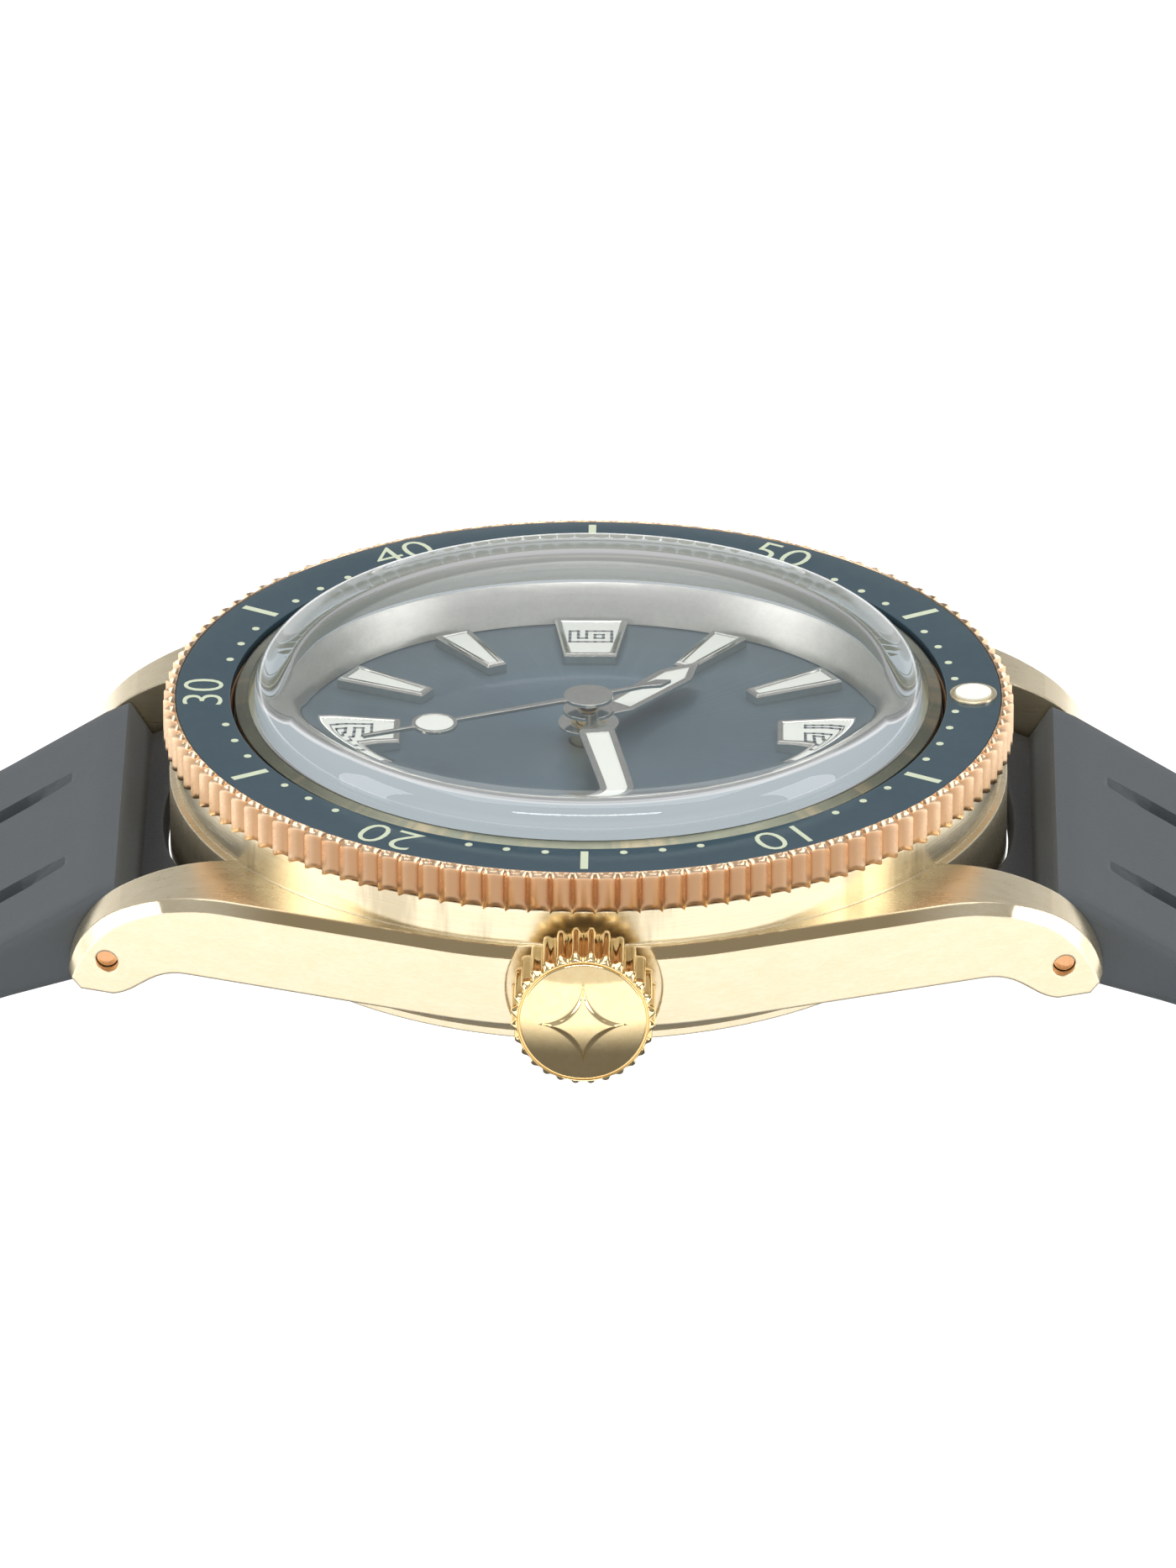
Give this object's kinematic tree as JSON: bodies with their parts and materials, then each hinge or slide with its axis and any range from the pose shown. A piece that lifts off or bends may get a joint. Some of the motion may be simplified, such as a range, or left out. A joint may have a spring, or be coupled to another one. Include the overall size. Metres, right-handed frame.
{
  "type": "dive watch",
  "caption": "Round dive watch with a turning coin-edge bezel, high box crystal, screw crown, self-winding movement and two-piece rubber strap with a pin buckle.",
  "frame": {"origin": "centre of the case back's outer face, on the axis of the hands", "axes": "+Z out of the dial, +Y to 12 o'clock, +X to the crown at 3 o'clock"},
  "size_m": [0.0419, 0.0892, 0.1091],
  "materials": {
    "case_bronze": "brushed flanks, polished chamfers",
    "bezel_bronze": "polished coin edge",
    "bezel_insert": "glossy blue-grey",
    "lume": "matte luminous paint",
    "crystal": "polished clear",
    "flange_steel": "fine circular brushing",
    "pin_bronze": "turned",
    "gasket_rubber": "satin",
    "spring_steel": "polished",
    "dial_blue": "sunray brushed, lacquered",
    "applied_nickel": "polished",
    "movement_nickel": "fine brushing",
    "wheel_brass": "gilt",
    "ruby": "polished",
    "strap_rubber": "matte moulded"
  },
  "bodies": {
    "case": {"case_middle": "case_bronze", "case_back": "case_bronze", "case_back_gasket": "gasket_rubber", "crown_tube": "flange_steel", "rehaut_ring": "flange_steel", "crystal": "crystal", "crystal_gasket": "gasket_rubber", "bezel_click_spring": "spring_steel", "bezel_gasket": "gasket_rubber", "movement_holder": "movement_nickel", "main_plate": "movement_nickel", "train_bridge": "movement_nickel", "balance_cock": "movement_nickel", "pallet_bridge": "movement_nickel", "jewels": "ruby", "movement_screws": "spring_steel", "dial": "dial_blue", "hour_markers": "applied_nickel", "marker_lume": "lume", "spring_bar_tubes": "flange_steel", "spring_bar_tips": "pin_bronze"},
    "bezel": {"bezel_ring": "bezel_bronze", "bezel_insert": "bezel_insert", "bezel_pip_cup": "flange_steel", "bezel_pip_lume": "lume"},
    "winding_pinion": {"winding_pinion": "spring_steel"},
    "crown": {"crown": "case_bronze", "crown_gasket": "gasket_rubber", "winding_stem": "spring_steel"},
    "sliding_pinion": {"sliding_pinion": "spring_steel"},
    "crown_wheel": {"crown_wheel": "movement_nickel"},
    "ratchet": {"ratchet_wheel": "movement_nickel", "barrel_arbor": "movement_nickel"},
    "barrel": {"barrel_drum": "wheel_brass", "barrel_cover": "wheel_brass", "mainspring": "spring_steel"},
    "centre_wheel": {"centre_wheel": "wheel_brass"},
    "third_wheel": {"third_wheel": "wheel_brass"},
    "seconds": {"fourth_wheel": "wheel_brass", "seconds_hand": "applied_nickel", "seconds_hand_lume": "lume"},
    "escape_wheel": {"escape_wheel": "spring_steel"},
    "pallet_fork": {"pallet_fork": "spring_steel"},
    "balance": {"balance_wheel": "wheel_brass", "hairspring": "spring_steel"},
    "rotor": {"rotor": "movement_nickel"},
    "minutes": {"cannon_pinion": "wheel_brass", "minute_hand": "applied_nickel", "minute_hand_lume": "lume"},
    "minute_wheel": {"minute_wheel": "wheel_brass"},
    "hours": {"hour_wheel": "wheel_brass", "hour_hand": "applied_nickel", "hour_hand_lume": "lume"},
    "strap_12": {"strap_12": "strap_rubber", "fixed_keeper": "strap_rubber", "buckle_bar": "flange_steel"},
    "free_keeper": {"free_keeper": "strap_rubber"},
    "buckle_frame": {"buckle_frame": "case_bronze"},
    "buckle_tongue": {"buckle_tongue": "case_bronze"},
    "strap_6": {"strap_6": "strap_rubber"}
  },
  "joints": [
    {"name": "bezel_turn", "type": "hinge", "parent": "case", "child": "bezel", "pos_m": [0, 0, 0.0085], "axis": [0, 0, 1], "continuous": true},
    {"name": "crown_turn", "type": "hinge", "parent": "case", "child": "winding_pinion", "pos_m": [0.0068, 0, 0.0042], "axis": [1, 0, 0], "continuous": true},
    {"name": "crown_pull", "type": "slide", "parent": "winding_pinion", "child": "crown", "axis": [1, 0, 0], "range_m": [0, 0.0012]},
    {"name": "sliding_pinion_slide", "type": "slide", "parent": "winding_pinion", "child": "sliding_pinion", "axis": [1, 0, 0], "range_m": [-0.0006, 0]},
    {"name": "crown_wheel_turn", "type": "hinge", "parent": "case", "child": "crown_wheel", "pos_m": [0.00595, 0, 0.00175], "axis": [0, 0, 1], "continuous": true},
    {"name": "ratchet_turn", "type": "hinge", "parent": "case", "child": "ratchet", "pos_m": [0, 0.00595, 0.00175], "axis": [0, 0, 1], "continuous": true},
    {"name": "seconds_turn", "type": "hinge", "parent": "case", "child": "seconds", "pos_m": [0, 0, 0.0026], "axis": [0, 0, 1], "continuous": true},
    {"name": "centre_turn", "type": "hinge", "parent": "case", "child": "centre_wheel", "pos_m": [0, 0, 0.0036], "axis": [0, 0, 1], "continuous": true},
    {"name": "third_turn", "type": "hinge", "parent": "case", "child": "third_wheel", "pos_m": [-0.00507, -0.00185, 0.0031], "axis": [0, 0, 1], "continuous": true},
    {"name": "escape_turn", "type": "hinge", "parent": "case", "child": "escape_wheel", "pos_m": [0.00178, -0.00489, 0.0031], "axis": [0, 0, 1], "continuous": true},
    {"name": "barrel_turn", "type": "hinge", "parent": "case", "child": "barrel", "pos_m": [0, 0.00595, 0.0044], "axis": [0, 0, 1], "continuous": true},
    {"name": "pallet_rock", "type": "hinge", "parent": "case", "child": "pallet_fork", "pos_m": [0.00331, -0.0068, 0.0031], "axis": [0, 0, 1], "range_deg": [-5, 5]},
    {"name": "balance_swing", "type": "hinge", "parent": "case", "child": "balance", "pos_m": [0.00423, -0.00795, 0.0024], "axis": [0, 0, 1], "range_deg": [-270, 270], "stiffness_Nm_per_rad": 0.00000018},
    {"name": "rotor_turn", "type": "hinge", "parent": "case", "child": "rotor", "pos_m": [0, 0, 0.0012], "axis": [0, 0, 1], "continuous": true},
    {"name": "minute_turn", "type": "hinge", "parent": "case", "child": "minutes", "pos_m": [0, 0, 0.006], "axis": [0, 0, 1], "continuous": true},
    {"name": "minute_wheel_turn", "type": "hinge", "parent": "case", "child": "minute_wheel", "pos_m": [-0.0017, 0.0017, 0.0053], "axis": [0, 0, 1], "continuous": true},
    {"name": "hour_turn", "type": "hinge", "parent": "case", "child": "hours", "pos_m": [0, 0, 0.006], "axis": [0, 0, 1], "continuous": true},
    {"name": "strap_12_hinge", "type": "hinge", "parent": "case", "child": "strap_12", "pos_m": [0, 0.02116, 0.00238], "axis": [1, 0, 0], "range_deg": [-15, 35]},
    {"name": "strap_6_hinge", "type": "hinge", "parent": "case", "child": "strap_6", "pos_m": [0, -0.02116, 0.00238], "axis": [1, 0, 0], "range_deg": [-35, 15]},
    {"name": "free_keeper_slide", "type": "slide", "parent": "strap_12", "child": "free_keeper", "axis": [0, -0.1544, -0.988], "range_m": [-0.003, 0.005]},
    {"name": "buckle_frame_hinge", "type": "hinge", "parent": "strap_12", "child": "buckle_frame", "pos_m": [0, 0.03521, -0.06205], "axis": [1, 0, 0], "range_deg": [-20, 20]},
    {"name": "buckle_tongue_hinge", "type": "hinge", "parent": "buckle_frame", "child": "buckle_tongue", "pos_m": [0, 0.03521, -0.06205], "axis": [1, 0, 0], "range_deg": [0, 80]}
  ],
  "couplings": [
    {"joint": "sliding_pinion_slide", "follows": "crown_pull", "ratio": -0.5},
    {"joint": "crown_wheel_turn", "follows": "crown_turn", "ratio": 1.2},
    {"joint": "ratchet_turn", "follows": "crown_turn", "ratio": -0.93333},
    {"joint": "centre_turn", "follows": "seconds_turn", "ratio": 0.016667},
    {"joint": "third_turn", "follows": "seconds_turn", "ratio": -0.13333},
    {"joint": "escape_turn", "follows": "seconds_turn", "ratio": -9},
    {"joint": "barrel_turn", "follows": "seconds_turn", "ratio": -0.0022222},
    {"joint": "minute_wheel_turn", "follows": "minute_turn", "ratio": -0.33333},
    {"joint": "hour_turn", "follows": "minute_turn", "ratio": 0.083333}
  ]
}
